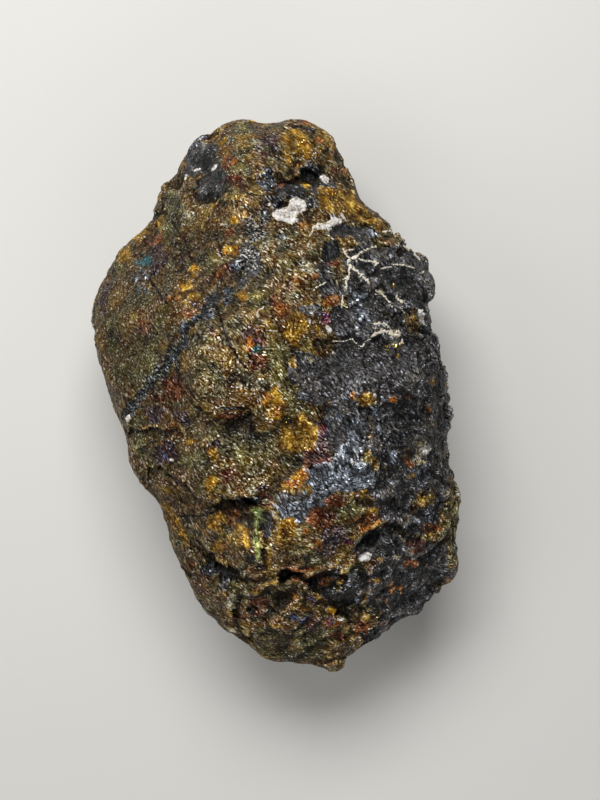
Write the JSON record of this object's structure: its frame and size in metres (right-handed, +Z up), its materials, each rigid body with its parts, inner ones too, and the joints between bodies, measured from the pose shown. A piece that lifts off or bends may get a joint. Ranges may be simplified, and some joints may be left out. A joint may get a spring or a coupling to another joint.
{
  "type": "peacock ore specimen",
  "caption": "Hand-sized natural lump of tarnished copper sulphide ore with quartz and a dark grey flank, lying on a small flat spot.",
  "frame": {"origin": "centre of the bounding box in plan, at its base, level with the flat spot that the lump rests on", "axes": "+X across the broad face towards the dark flank, +Y along the lump towards its narrow crown end, +Z up out of the broad face"},
  "size_m": [0.0986, 0.1496, 0.0662],
  "materials": {
    "ore": "rough broken sulphide ore, bronze to charcoal tarnish with metallic glints"
  },
  "bodies": {
    "root": {"ore_lump": "ore"}
  },
  "joints": []
}
